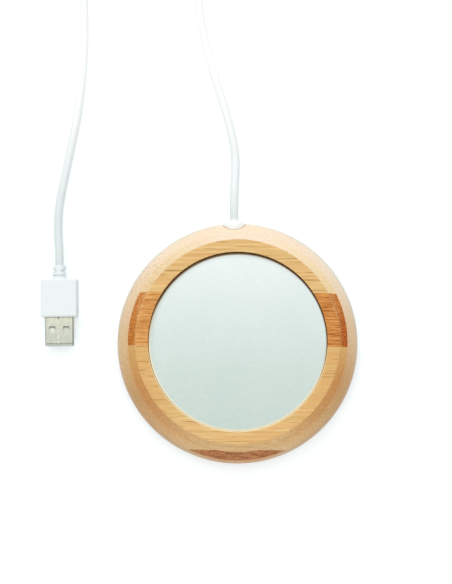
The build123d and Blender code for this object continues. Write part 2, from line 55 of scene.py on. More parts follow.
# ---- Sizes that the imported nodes' boxes give ----
casing_low, casing_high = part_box("bamboo_casing")
plate_low, plate_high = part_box("warming_plate")
bush_low, bush_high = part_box("cord_bush")
overmould_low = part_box("plug_overmould")[0]
shell_low, shell_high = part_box("plug_shell")

casing_radius = casing_high.x
casing_top = casing_high.z
stand_off = casing_low.z
plate_top = plate_high.z
flange_radius = plate_high.x
flange_under = plate_low.z

# ---- Sizes of the casing's turned shape ----
widest_height = 4.5 * MM
side_width = 2.2 * MM
bevel_width = 6.2 * MM
bevel_drop = 8.0 * MM
bevel_bulge = 0.25 * MM
rim_width = 5.2 * MM
lip_thickness = 3.0 * MM
lip_overhang = 2.0 * MM
ledge_width = 6.3 * MM
cover_thickness = 2.2 * MM
crease_round = 0.4 * MM
rim_round = 0.35 * MM
wood_edge_round = 0.15 * MM
ply_thickness = 4.0 * MM
second_ply_foot = 9.2 * MM  # below the casing's top

# ---- Sizes of the plate ----
plate_thickness = 1.5 * MM
plate_gap = 0.2 * MM
plate_shift = 0.18 * MM  # play taken up toward -Y
plate_edge_round = 0.2 * MM
plate_bend_round = 0.5 * MM
flange_edge_round = 0.1 * MM

# ---- Sizes of the bush, cord and plug ----
cord_radius = 1.8 * MM
cord_height = 9.0 * MM
bush_head_depth = 8.6 * MM
bush_edge_round = 2.2 * MM
bush_bore_round = 0.5 * MM
bush_bore_play = 0.05 * MM
bush_back_round = 0.2 * MM
bush_clearance = 0.1 * MM
bush_lip_gap = 0.05 * MM
bush_dome_back = 0.8 * MM
bush_dome_drop = 0.6 * MM
bush_neck_radius = 3.45 * MM
drill_reach = 5.0 * MM
drill_overlap = 1.0 * MM
shell_corner = 0.7 * MM
shell_least_corner = 0.2 * MM
window_size = 2.6 * MM
window_corner = 0.6 * MM
window_spacing = 5.95 * MM
window_from_tip = 6.7 * MM
tip_line_from_tip = 0.95 * MM
seam_offset = 0.36 * MM
seam_half = 0.08 * MM
seam_depth = 0.14 * MM
seam_run_in = 1.0 * MM  # how far the seam runs on under the overmould
notch_half = 0.35 * MM
fold_inset = 0.42 * MM

crease_radius = casing_radius - side_width - bevel_width
opening_radius = crease_radius - rim_width
cavity_radius = opening_radius + lip_overhang
rebate_radius = cavity_radius + ledge_width
plate_radius = opening_radius - plate_gap
cord_offset = (bush_low.x + bush_high.x) / 2
bush_head_radius = (bush_high.x - bush_low.x) / 2
plug_x = (shell_low.x + shell_high.x) / 2
plug_height = (shell_low.z + shell_high.z) / 2
window_y = shell_low.y + window_from_tip
tip_line = shell_low.y + tip_line_from_tip
seam_x = plug_x - seam_offset
fold_start = (shell_high.x - shell_low.x) / 2 - fold_inset


# ---- Shader maths ----
class Value:
    """An output socket of a finish's tree. Arithmetic on it adds Math nodes."""

    def __init__(self, finish, socket):
        self.finish = finish
        self.socket = socket

    def maths(self, operation, first, second):
        """A Math node on two numbers or sockets."""
        return self.finish.node("Math", {"operation": operation}, {0: first, 1: second})

    def __add__(self, other):
        return self.maths("ADD", self, other)

    def __radd__(self, other):
        return self.maths("ADD", other, self)

    def __sub__(self, other):
        return self.maths("SUBTRACT", self, other)

    def __rsub__(self, other):
        return self.maths("SUBTRACT", other, self)

    def __mul__(self, other):
        return self.maths("MULTIPLY", self, other)

    def __rmul__(self, other):
        return self.maths("MULTIPLY", other, self)

    def __truediv__(self, other):
        return self.maths("DIVIDE", self, other)

    def __rtruediv__(self, other):
        return self.maths("DIVIDE", other, self)

    def __gt__(self, other):
        return self.maths("GREATER_THAN", self, other)

    def __lt__(self, other):
        return self.maths("LESS_THAN", self, other)


class Finish:
    """A material, or the world, whose nodes are added one call at a time."""

    def __init__(self, name, collection="materials"):
        self.owner = getattr(bpy.data, collection).new(name)
        self.owner.use_nodes = True
        self.tree = self.owner.node_tree
        self.tree.nodes.clear()

    def node(self, kind, settings=None, inputs=None, output=0):
        """Adds a shader node: first its settings, then the values or links of its sockets."""
        made = self.tree.nodes.new("ShaderNode" + kind)
        for name, value in (settings or {}).items():
            setattr(made, name, value)
        for name, value in (inputs or {}).items():
            if isinstance(value, Value):
                self.tree.links.new(value.socket, made.inputs[name])
            elif isinstance(value, tuple) and made.inputs[name].type == "RGBA":
                made.inputs[name].default_value = (*value, 1)
            else:
                made.inputs[name].default_value = value
        return Value(self, made.outputs[output]) if made.outputs else None

    def place(self):
        """Place on the object, in metres."""
        return self.node("TexCoord", output="Object")

    def axes(self, vector):
        """The three numbers of a vector."""
        return [self.node("SeparateXYZ", inputs={0: vector}, output=axis) for axis in "XYZ"]

    def facing(self):
        """The three numbers of the way that the surface faces."""
        return self.axes(self.node("TexCoord", output="Normal"))

    def from_axis(self, place):
        """How far a place is from the Z axis."""
        flat = self.node("VectorMath", {"operation": "MULTIPLY"}, {0: place, 1: (1, 1, 0)})
        return self.node("VectorMath", {"operation": "LENGTH"}, {0: flat}, output="Value")

    def noise(self, place, size, detail=2.0, roughness=0.5, stretch=(1, 1, 1), shift=(0, 0, 0)):
        """Noise from 0 to 1 whose blobs are about size metres, times stretch along each axis."""
        scale = tuple(1 / (size * s) for s in stretch)
        spot = self.node("Mapping", inputs={"Vector": place, "Location": shift, "Scale": scale})
        sockets = {"Vector": spot, "Scale": 1.0, "Detail": detail, "Roughness": roughness}
        return self.node("TexNoise", inputs=sockets, output="Fac")

    def cells(self, place, sizes, output="Distance"):
        """Scattered cells with a size along each axis: 0 at their middles, or their own colours."""
        scale = tuple(1 / size for size in sizes)
        spot = self.node("Mapping", inputs={"Vector": place, "Scale": scale})
        return self.node("TexVoronoi", inputs={"Vector": spot, "Scale": 1.0}, output=output)

    def between(self, value, low, high):
        """Value brought from low..high to 0..1, and held there."""
        sockets = {"Value": value, "From Min": low, "From Max": high}
        return self.node("MapRange", {"clamp": True}, sockets)

    def size_of(self, value):
        """A number without its sign."""
        return self.node("Math", {"operation": "ABSOLUTE"}, {0: value})

    def larger(self, first, *others):
        """The largest of the numbers."""
        for other in others:
            first = self.node("Math", {"operation": "MAXIMUM"}, {0: first, 1: other})
        return first

    def background_rays(self):
        """1 on the rays that show the background: the camera's own, glossy and transmitted ones."""
        kinds = ("Is Camera Ray", "Is Glossy Ray", "Is Transmission Ray")
        return self.larger(*[self.node("LightPath", output=kind) for kind in kinds])

    def mix(self, share, first, second, blend="MIX"):
        """Colour between first and second, or between first and its blend with second."""
        settings = {"data_type": "RGBA", "blend_type": blend}
        return self.node("Mix", settings, {0: share, 6: first, 7: second}, output=2)

    def shade(self, bump=None, bump_depth=0.0, **sockets):
        """Ends the tree in a Principled BSDF, with a bump where one is given."""
        named = {name.replace("_", " "): value for name, value in sockets.items()}
        if bump is not None:
            heights = {"Height": bump, "Distance": bump_depth, "Strength": 1.0}
            named["Normal"] = self.node("Bump", inputs=heights)
        return self.ended(self.node("BsdfPrincipled", inputs=named))

    def ended(self, surface, kind="OutputMaterial"):
        """Ends the tree in a shader and gives back what it belongs to."""
        self.node(kind, inputs={"Surface": surface})
        return self.owner


def srgb(*channels):
    """Linear colour of a screen colour given from 0 to 255."""
    shares = [c / 255 for c in channels]
    return tuple(s / 12.92 if s <= 0.04045 else ((s + 0.055) / 1.055) ** 2.4 for s in shares)


# ---- Finishes ----
grain_turn = math.radians(1.15)  # the strips lie this much off the X axis
strip_width = 22.3 * MM
strip_seed = 3.0  # settles which light strips are a little paler
top_strip_edge = -1.93 * MM
second_strip_edge = -45.1 * MM
low_strip_depth = 16.0 * MM
bundle_size = (12.0 * MM, 1.0 * MM, 1.0 * MM)
dot_size = (1.15 * MM, 0.85 * MM, 0.85 * MM)
bush_shadow_width = 0.8 * MM
bush_shadow_from = 40.0 * MM


def bamboo_finish():
    """Bamboo plies of side-by-side strips: long fibres, dark strips and speckled end grain."""
    finish = Finish("bamboo")
    place = finish.place()
    spot = finish.node("Mapping", inputs={"Vector": place, "Rotation": (0, 0, grain_turn)})
    along, across, height = finish.axes(spot)
    radius = finish.from_axis(spot)
    face_x, face_y, face_z = finish.facing()
    sloped = finish.between(face_z, 0.93, 0.7)
    end_grain = finish.between(finish.size_of(face_x), 0.2, 0.75)
    sunny = face_y + 0.15 * face_x

    # Which ply a spot is in, and whether its strip is a dark one.
    depth = casing_top - height
    lower = depth > ply_thickness
    lowest = depth > second_ply_foot
    second_ply = lower * (depth < second_ply_foot)
    below_top_strip = across < top_strip_edge
    top_dark = (depth < ply_thickness) * (across > top_strip_edge)
    top_dark = top_dark * (across < top_strip_edge + strip_width)
    second_dark = second_ply * (across < second_strip_edge)
    low_dark = (depth > low_strip_depth) * (across > top_strip_edge - strip_width) * below_top_strip
    dark = top_dark + second_dark + low_dark
    blond = 1 - dark

    ply = lower + lowest
    strip = finish.node("Math", {"operation": "FLOOR"}, {0: (across - top_strip_edge) / strip_width})
    number = finish.node("CombineXYZ", inputs={"X": ply, "Y": strip, "Z": strip_seed})
    strip_tone = finish.node("TexWhiteNoise", {"noise_dimensions": "3D"}, {"Vector": number})

    # Fibres run along the strips. Cut across, they show as dots.
    broad = finish.noise(spot, 2.6 * MM, 2, stretch=(18, 1, 1))
    fibres = finish.noise(spot, 0.9 * MM, 3, 0.7, stretch=(30, 1, 1))
    hairs = finish.noise(spot, 0.4 * MM, 2, 0.6, stretch=(50, 1, 1), shift=(5, 3, 1))
    knots = finish.noise(spot, 0.6 * MM, 2, 0.6, stretch=(9, 1, 1), shift=(8, 2, 6))
    veins = finish.noise(spot, 0.75 * MM, 2, 0.5, stretch=(24, 1, 1), shift=(2, 7, 4))
    vein = finish.between(veins, 0.63, 0.68)
    cells = finish.noise(spot, 0.65 * MM, 2, 0.6, stretch=(1.5, 1, 1), shift=(3, 3, 3))
    patchy = finish.between(finish.noise(spot, 14 * MM, 2, 0.5, shift=(1, 1, 9)), 0.42, 0.56)
    bundles = finish.between(finish.cells(spot, bundle_size), 0.42, 0.26)
    dots = finish.between(finish.cells(spot, dot_size), 0.32, 0.2)
    dots = dots * finish.between(finish.cells(spot, dot_size, "Color"), 0.25, 0.5)
    mottle = finish.noise(spot, 0.8 * MM, 2, 0.6, stretch=(1.3, 1, 1), shift=(6, 1, 2))

    streak = finish.between(fibres, 0.34, 0.66)
    short = finish.between(knots, 0.38, 0.62)
    hair = finish.between(hairs, 0.45, 0.75)
    shaded = finish.between(face_y, 0.0, -0.35)
    aside = finish.between(finish.size_of(along), 8 * MM, 22 * MM)
    far_aside = finish.between(finish.size_of(along), 25 * MM, 42 * MM)
    to_right = finish.between(along, -0.03, 0.03)

    # The tones of the light strips of each ply, then those of the dark strips.
    pale = finish.mix(streak, srgb(216, 168, 102), srgb(243, 210, 152))
    pale = finish.mix(finish.between(broad, 0.5, 0.68) * 0.6, pale, srgb(218, 186, 118))
    pale = finish.mix(finish.between(broad, 0.5, 0.34) * 0.5, pale, srgb(236, 187, 122))
    pale = finish.mix(strip_tone * 0.3, pale, srgb(232, 194, 132))
    aside_low = finish.between(finish.size_of(along), 22 * MM, 38 * MM) * below_top_strip
    pale = finish.mix(aside_low * 0.35, pale, srgb(214, 160, 92))
    warm = finish.mix(streak, srgb(228, 180, 116), srgb(240, 198, 136))
    second = finish.mix(streak, srgb(228, 190, 134), srgb(240, 206, 152))
    second = finish.mix(finish.between(depth, 6.2 * MM, 4 * MM), second, warm)
    # Painted shade: the lowest ply takes a darker, warmer tone where it faces away from the light.
    lowest_shaded_tone = finish.mix(aside, srgb(216, 160, 100), srgb(226, 188, 140))
    second = finish.mix(shaded * lowest, second, lowest_shaded_tone)
    grain = streak * 0.45 + short * 0.55
    honey = finish.mix(grain, srgb(196, 122, 54), srgb(242, 188, 118))
    russet = finish.mix(grain, srgb(159, 75, 21), srgb(238, 172, 97))
    caramel = finish.mix(to_right, honey, russet)
    umber = finish.mix(short, srgb(146, 76, 36), srgb(206, 140, 92))
    wood = finish.mix(lower, pale, second)
    wood = finish.mix(dark, wood, finish.mix(lower, caramel, umber))
    vein_tone = finish.mix(dark, srgb(160, 112, 48), srgb(122, 60, 16))
    wood = finish.mix(vein * (0.58 - 0.4 * sloped - 0.28 * top_dark), wood, vein_tone)
    wood = finish.mix(hair * (0.16 + 0.14 * dark), wood, srgb(170, 108, 44))
    # End grain darkened, plus painted shade on slopes that face away from the light.
    end_grain_and_shade = end_grain * blond * (0.1 + 0.9 * shaded) * (1.16 - 0.31 * lower)
    end_grain_and_shade = finish.larger(end_grain_and_shade, shaded * sloped * blond * 0.14)
    wood = finish.mix(end_grain_and_shade, wood, (0.84, 0.56, 0.2), "MULTIPLY")

    # End grain of the dark strips, which starts behind the crease.
    speck = finish.between(cells, 0.38, 0.62)
    left_pith = finish.mix(speck, srgb(166, 84, 28), srgb(228, 144, 56))
    right_pith = finish.mix(speck, srgb(146, 52, 0), srgb(214, 108, 8))
    right_end = finish.mix(speck, srgb(160, 80, 24), srgb(228, 136, 46))
    right_pith = finish.mix(finish.between(across, 9 * MM, 16 * MM), right_pith, right_end)
    pith = finish.mix(to_right, left_pith, right_pith)
    fading = crease_radius + 0.7 * MM + 1.3 * MM * finish.between(across, 6 * MM, 14 * MM)
    fading = fading + 0.6 * MM * (along > 0)
    ends = end_grain * top_dark * finish.between(radius, crease_radius, fading)
    wood = finish.mix(ends * 0.95, wood, pith)

    # The bevel's painted highlight where it faces the light, its pores and its mottle.
    # Painted highlight: slopes that face the light are whitened toward cream.
    painted_highlight = sloped * finish.between(sunny, -0.12, 0.62) * (1 - 0.92 * dark)
    highlight_cream = finish.mix(end_grain, srgb(251, 233, 212), srgb(252, 229, 172))
    highlight_cream = finish.mix(lower, highlight_cream, srgb(252, 234, 210))
    highlight_cream = finish.mix(lowest, highlight_cream, srgb(248, 236, 221))
    wood = finish.mix(painted_highlight * (0.84 - 0.14 * streak), wood, highlight_cream)
    pores = finish.between(cells, 0.56, 0.68) * sloped * blond
    wood = finish.mix(pores * 0.16, wood, srgb(190, 134, 72))
    mottled = sloped * (0.16 - 0.12 * top_dark)
    wood = finish.mix(finish.between(mottle, 0.5, 0.68) * mottled, wood, srgb(196, 146, 96))
    wood = finish.mix(finish.between(mottle, 0.5, 0.32) * mottled, wood, srgb(255, 236, 200))
    sunlit = finish.between(face_y, -0.2, 0.4) * finish.between(face_x, 0.5, -0.3)
    sunlit = (0.3 + 0.7 * patchy) * sunlit
    speckle = finish.mix(dark, srgb(164, 112, 38), srgb(250, 200, 140))
    wood = finish.mix(bundles * (0.02 + 0.04 * sloped), wood, speckle)
    wood = finish.mix(dots * sloped * end_grain * (0.16 + 0.8 * sunlit), wood, speckle)

    # Stretches of the bevel and the side that are a little darker or warmer; two of them are painted
    # shade.
    rightward = finish.between(face_x, 0.6, 0.8) * finish.between(finish.size_of(face_y), 0.4, 0.15)
    sideways = finish.between(finish.size_of(face_x), 0.6, 0.76) * below_top_strip
    ripe = finish.between(finish.size_of(face_x + 0.35), 0.25, 0.12) * (face_y > 0)
    for share, tint in (
        (aside * lowest, (0.9, 0.97, 0.99)),
        # painted shade on the second ply's far sides that face away from the light
        (far_aside * shaded * second_ply, (0.88, 0.92, 0.94)),
        (rightward * blond, (0.96, 0.9, 0.83)),
        (sideways * (1 - lower), (1.04, 0.98, 0.62)),
        (ripe * sloped * (1 - 0.6 * lower), (0.945, 0.935, 0.87)),
    ):
        wood = finish.mix(share, wood, tint, "MULTIPLY")
    # Painted shade: slopes that face left and down are darkened.
    painted_left_shade = sloped * finish.between(face_x, 0.2, -0.76) * finish.between(face_y, 0.7, 0.2)
    painted_left_shade = painted_left_shade * (1 - 0.6 * lower * finish.between(face_y, -0.4, -0.25))
    wood = finish.mix(painted_left_shade * 0.1, wood, srgb(110, 72, 36))
    # Painted highlight: a pale line along the crease, stronger in spots on the dark strip.
    crease_glint = top_dark * short * finish.between(across, 2 * MM, 14 * MM) * (0.35 - 0.2 * (along > 0))
    crease = finish.between(finish.size_of(radius - crease_radius), 0.35 * MM, 0.1 * MM)
    wood = finish.mix(crease * (0.04 + crease_glint), wood, srgb(248, 222, 176))

    # The opening's rim has a painted highlight where it faces the light and painted shade where it faces
    # away; a painted shadow rings the top of the bush's bore.
    past_opening = radius - opening_radius
    rim = finish.between(past_opening, 0.4 * MM, 0.15 * MM) * (depth < 2 * MM)
    wood = finish.mix(rim * finish.between(face_y, 0.02, 0.2), wood, srgb(254, 238, 204))
    rim = rim * finish.between(past_opening, 0.22 * MM, 0.02 * MM)
    wood = finish.mix(rim * finish.between(face_y, -0.15, -0.6) * 0.75, wood, srgb(92, 54, 16))
    cross_place = finish.node("VectorMath", {"operation": "MULTIPLY"}, {0: place, 1: (1, 0, 1)})
    spot_and_bore = {0: cross_place, 1: (cord_offset, 0, cord_height)}
    from_bore = finish.node("VectorMath", {"operation": "DISTANCE"}, spot_and_bore, output="Value")
    # Painted shadow: a tan ring on the wood round the top of the bush.
    bush_shadow = finish.between(from_bore - bush_head_radius, bush_shadow_width, bush_shadow_width - 0.3 * MM)
    bush_shadow = bush_shadow * (across > bush_shadow_from)
    bush_shadow = bush_shadow * finish.between(height, cord_height, cord_height + 2 * MM)
    wood = finish.mix(bush_shadow * 0.7, wood, srgb(196, 146, 104))

    # Only the bevel and the side have a silky sheen.
    relief = 0.5 * fibres + 0.3 * hairs - 0.1 * bundles - 0.3 * vein
    both = {"Base Color": wood, "Roughness": 0.5 + 0.14 * fibres}
    plain = finish.node("BsdfPrincipled", inputs=both | {"Specular IOR Level": 0.06})
    bump = finish.node("Bump", inputs={"Height": relief, "Distance": 0.04 * MM, "Strength": 1.0})
    silk = {"Specular IOR Level": 0.25, "Normal": bump, "Sheen Weight": 0.4, "Sheen Roughness": 0.5}
    silky = finish.node("BsdfPrincipled", inputs=both | silk)
    share = sloped * blond * (radius > crease_radius - 1 * MM)
    return finish.ended(finish.node("MixShader", inputs={0: share, 1: plain, 2: silky}))


def plate_finish():
    """Satin aluminium with a faint brushed grain, a painted shadow under the casing's lip and a painted
    reflection of the wood along its edge.
    """
    finish = Finish("plate_aluminium")
    spot = finish.place()
    x, y, _ = finish.axes(spot)
    radius = finish.from_axis(spot)
    brushed = finish.noise(spot, 0.7 * MM, 3, 0.6, stretch=(3, 1, 1))
    broad = finish.noise(spot, 20 * MM, 1, 0.4)
    across = finish.between(y, -30 * MM, 30 * MM)
    dim = finish.mix(across, srgb(190, 205, 199), srgb(192, 201, 198))
    bright = finish.mix(across, srgb(197, 210, 203), srgb(199, 206, 204))
    tone = finish.mix(finish.between(0.7 * brushed + 0.3 * broad, 0.35, 0.65), dim, bright)
    # Painted shadow of the casing's lip on the plate's upper-left margin.
    painted_rim_shadow = finish.between((0.85 * y - 0.5 * x) / plate_radius, 0.1, 0.7)
    painted_rim_shadow = painted_rim_shadow * finish.between(radius, plate_radius - 2.6 * MM, plate_radius - 0.4 * MM)
    tone = finish.mix(painted_rim_shadow * 0.5, tone, srgb(158, 162, 152))
    # Painted reflection of the wood's rim along the plate's edge: cream at the bottom, dark brown at the
    # top.
    lipped = finish.between(y + 0.2 * x, -12 * MM, 12 * MM)
    painted_wood_reflection = finish.mix(lipped, srgb(246, 226, 182), srgb(100, 66, 22))
    near = plate_radius - 0.85 * MM - 0.35 * MM * finish.between(y, 5 * MM, 30 * MM)
    near = near + 0.25 * MM * finish.between(x, 0, 25 * MM) * lipped
    edge = finish.between(radius - near, 0, 0.6 * MM)
    tone = finish.mix(edge * (0.7 + 0.25 * lipped), tone, painted_wood_reflection)
    roughness = 0.33 + 0.06 * (brushed - 0.5)
    return finish.shade(brushed, 0.005 * MM, Base_Color=tone, Metallic=1.0, Roughness=roughness)


def satin_metal(name, colour, other, roughness):
    """Metal whose fine finish varies between two tones."""
    finish = Finish(name)
    spot = finish.place()
    fine = finish.noise(spot, 0.5 * MM, 3, 0.6)
    broad = finish.noise(spot, 14 * MM, 2, 0.5)
    tone = finish.mix(finish.between(0.6 * fine + 0.4 * broad, 0.35, 0.65), colour, other)
    roughness = roughness + 0.12 * (fine - 0.5)
    return finish.shade(fine, 0.01 * MM, Base_Color=tone, Metallic=1.0, Roughness=roughness)


def moulding(name, colour, other, roughness, grain=0.25 * MM, depth=0.006 * MM):
    """Moulded plastic or rubber with a fine eroded surface and faint flow tones."""
    finish = Finish(name)
    spot = finish.place()
    fine = finish.noise(spot, grain, 2, 0.6)
    broad = finish.noise(spot, 9 * MM, 2, 0.5)
    tone = finish.mix(finish.between(broad, 0.3, 0.7), colour, other)
    return finish.shade(fine, depth, Base_Color=tone, Roughness=roughness + 0.1 * (fine - 0.5))


def window_shade(finish, x, y):
    """Painted shadow: a dark arch along the upper edge of each window in the plug's shell."""
    beside = finish.size_of(finish.size_of(x - plug_x) - window_spacing / 2)
    above = y - window_y
    edge = finish.larger(beside + 0.3 * above, above) - window_size / 2
    arch = finish.between(finish.size_of(edge - 0.02 * MM), 0.4 * MM, 0.24 * MM)
    arch = arch * (beside < window_size / 2 + 0.1 * MM)
    return arch * finish.between(above, 0.3 * MM, 0.8 * MM) * 0.8


def shell_finish():
    """Folded sheet steel, with painted dark reflections along its folds, painted shade at the bend by
    its tip, where it enters the grip and in its notch, and a painted shadow along the windows' upper
    edges.
    """
    finish = Finish("plug_steel")
    spot = finish.place()
    x, y, z = finish.axes(spot)
    fine = finish.noise(spot, 0.28 * MM, 3, 0.65, stretch=(1, 2, 1))
    cloudy = finish.noise(spot, 1.6 * MM, 2, 0.6)
    aside = finish.size_of(x - plug_x)
    # Painted dark reflections along the folds; painted shade at the bend by the tip and where the shell
    # meets the grip.
    fold = finish.between(aside, fold_start, fold_start + 0.2 * MM)
    fold = fold * finish.between(finish.size_of(z - plug_height), 1.0 * MM, 1.6 * MM)
    line = finish.between(finish.size_of(y - tip_line), 0.24 * MM, 0.1 * MM)
    root = finish.between(y, overmould_low.y - 0.6 * MM, overmould_low.y)
    inward = finish.between(y, 3 * MM, 11 * MM)
    bright = finish.mix(inward, srgb(190, 194, 182), srgb(203, 203, 186))
    dim = finish.mix(inward, srgb(173, 178, 168), srgb(186, 185, 170))
    tone = finish.mix(finish.between(0.5 * fine + 0.5 * cloudy, 0.38, 0.62), dim, bright)
    painted_shade_and_reflection = finish.larger(fold * 0.8, line * 0.35, root * 0.5, window_shade(finish, x, y))
    tone = finish.mix(painted_shade_and_reflection, tone, srgb(98, 102, 97))
    joint = finish.between(finish.size_of(x - seam_x), 0.26 * MM, 0.1 * MM) * (y > tip_line)
    broken = finish.noise(spot, 0.9 * MM, 2, 0.6, shift=(3, 1, 2))
    tone = finish.mix(joint * finish.between(broken, 0.5, 0.56) * 0.8, tone, srgb(240, 240, 226))
    tone = finish.mix(joint * finish.between(broken, 0.47, 0.42) * 0.6, tone, srgb(112, 114, 108))
    # Painted shade in the seam's notch by the grip.
    notched = finish.between(y, overmould_low.y - 1.0 * MM, overmould_low.y - 0.6 * MM)
    tone = finish.mix(joint * notched * 0.9, tone, srgb(70, 66, 58))
    roughness = 0.3 + 0.14 * (fine - 0.5)
    return finish.shade(fine, 0.02 * MM, Base_Color=tone, Metallic=1.0, Roughness=roughness)


def tongue_finish():
    """Moulded insulator, with a painted shadow where the windows' upper edges shade it."""
    finish = Finish("plug_insulator")
    spot = finish.place()
    x, y, _ = finish.axes(spot)
    fine = finish.noise(spot, 0.5 * MM, 2, 0.6)
    tone = finish.mix(fine, srgb(220, 227, 216), srgb(230, 235, 225))
    tone = finish.mix(finish.between(x, plug_x, plug_x + 2 * MM) * 0.7, tone, srgb(206, 212, 198))
    tone = finish.mix(window_shade(finish, x, y), tone, srgb(126, 131, 122))
    return finish.shade(fine, 0.006 * MM, Base_Color=tone, Roughness=0.4)


def jacket_finish():
    """The cord's jacket, with painted light that pales it toward its coil."""
    finish = Finish("jacket")
    spot = finish.place()
    x, y, _ = finish.axes(spot)
    fine = finish.noise(spot, 0.25 * MM, 2, 0.6)
    tone = finish.mix(fine, srgb(221, 230, 228), srgb(228, 237, 235))
    tone = finish.mix(finish.between(x, -55 * MM, -70 * MM) * 0.5, tone, srgb(214, 225, 224))
    # Painted light: the jacket pales toward white from y = 50 mm to y = 120 mm.
    tone = finish.mix(finish.between(y, 50 * MM, 120 * MM), tone, srgb(254, 255, 255))
    return finish.shade(fine, 0.006 * MM, Base_Color=tone, Roughness=0.38)


def grip_finish():
    """The plug's moulding, with a painted cooler shade on its side that faces +X."""
    finish = Finish("grip")
    spot = finish.place()
    face_x, _, _ = finish.facing()
    fine = finish.noise(spot, 0.25 * MM, 2, 0.6)
    tone = finish.mix(fine, srgb(233, 240, 240), srgb(236, 243, 243))
    # Painted shade: the side that faces +X takes a cooler, darker tone.
    tone = finish.mix(finish.between(face_x, 0.3, 0.8), tone, srgb(225, 236, 239))
    return finish.shade(fine, 0.006 * MM, Base_Color=tone, Roughness=0.42)


def felt_finish():
    """Pressed ceramic fibre: soft, matte and tangled."""
    finish = Finish("insulation_felt")
    spot = finish.place()
    tangle = finish.noise(spot, 0.6 * MM, 6, 0.75, stretch=(3, 1, 1))
    tone = finish.mix(tangle, srgb(205, 202, 190), srgb(240, 238, 230))
    return finish.shade(tangle, 0.2 * MM, Base_Color=tone, Roughness=0.95)


finishes = {
    "bamboo": bamboo_finish(),
    "plate_aluminium": plate_finish(),
    "insulation_felt": felt_finish(),
    "jacket": jacket_finish(),
    "grip": grip_finish(),
    "plug_steel": shell_finish(),
    "plug_insulator": tongue_finish(),
}
for name, *looks in (
    ("silicone", srgb(226, 226, 222), srgb(216, 216, 212), 0.6),
    ("heater_polyimide", srgb(196, 120, 40), srgb(182, 104, 30), 0.3),
    ("carrier_plastic", srgb(74, 72, 70), srgb(66, 64, 62), 0.5),
    ("wire_red", srgb(204, 36, 32), srgb(186, 28, 26), 0.45),
    ("wire_black", srgb(34, 34, 34), srgb(28, 28, 28), 0.45),
    ("sleeve_black", srgb(42, 42, 42), srgb(34, 34, 34), 0.55),
    ("cover_plastic", srgb(230, 228, 220), srgb(224, 222, 214), 0.55, 0.35 * MM, 0.03 * MM),
    ("foot_rubber", srgb(52, 52, 54), srgb(44, 44, 46), 0.75, 0.3 * MM, 0.02 * MM),
    ("white_pvc", srgb(240, 246, 246), srgb(236, 242, 242), 0.42),
    ("bush", srgb(246, 249, 245), srgb(243, 247, 242), 0.42),
):
    finishes[name] = moulding(name, *looks)
for name, *looks in (
    ("heater_foil", srgb(222, 176, 130), srgb(206, 160, 118), 0.35),
    ("cutout_steel", srgb(196, 196, 196), srgb(178, 178, 176), 0.35),
    ("screw_steel", srgb(190, 190, 188), srgb(170, 170, 170), 0.3),
    ("contact_gold", srgb(226, 190, 110), srgb(214, 176, 98), 0.25),
):
    finishes[name] = satin_metal(name, *looks)


# ---- Shapes ----
merge_distance = 0.001 * MM
lathe_radius = 10.0 * MM  # outlines are held this far off the axis while they are turned


def linked(name, data):
    """A new object in the scene."""
    made = bpy.data.objects.new(name, data)
    bpy.context.scene.collection.objects.link(made)
    return made


def shown(name, mesh, slot, *replaced, finish=None):
    """Makes a finished mesh a piece on the body, with its slot's finish or a shade of it."""
    piece = linked(name, mesh)
    mesh.materials.clear()
    mesh.materials.append(finishes[finish or slot])
    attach(piece, BODY)
    if replaced:
        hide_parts(*replaced)
    return piece


def cleaned(mesh, sharp_from=35):
    """Merges doubled points, turns the faces outwards and shades all but the sharp edges smooth."""
    work = bmesh.new()
    work.from_mesh(mesh)
    bmesh.ops.remove_doubles(work, verts=work.verts, dist=merge_distance)
    bmesh.ops.dissolve_degenerate(work, edges=work.edges, dist=merge_distance / 2)
    bmesh.ops.recalc_face_normals(work, faces=work.faces)
    work.to_mesh(mesh)
    work.free()
    mesh.shade_smooth()
    mesh.set_sharp_from_angle(angle=math.radians(sharp_from))
    return mesh


def applied(piece):
    """Mesh of an object with its modifiers applied; the object goes."""
    graph = bpy.context.evaluated_depsgraph_get()
    mesh = bpy.data.meshes.new_from_object(piece.evaluated_get(graph), depsgraph=graph)
    bpy.data.objects.remove(piece)
    return mesh


def bow(start, end, lean, steps=12):
    """Arc from start to end that sets off at lean radians left of the straight line between them."""
    chord = end - start
    points = []
    for step in range(steps + 1):
        share = step / steps
        reach = math.sin(lean * share) / math.sin(lean)
        sine, cosine = math.sin(lean * (1 - share)), math.cos(lean * (1 - share))
        heading = Vector((chord.x * cosine - chord.y * sine, chord.x * sine + chord.y * cosine))
        points.append(start + heading * reach)
    return points


def rounded(corners, steps=5):
    """Closed outline from (radius, height, rounding) corners."""
    outline = []
    for before, here, after in zip(corners[-1:] + corners[:-1], corners, corners[1:] + corners[:1]):
        point = Vector(here[:2])
        if not here[2]:
            outline.append(point)
            continue
        back = (Vector(before[:2]) - point).normalized() * here[2]
        on = (Vector(after[:2]) - point).normalized() * here[2]
        for step in range(steps + 1):
            share = step / steps
            outline.append(point + back * (1 - share) ** 2 + on * share**2)
    return outline


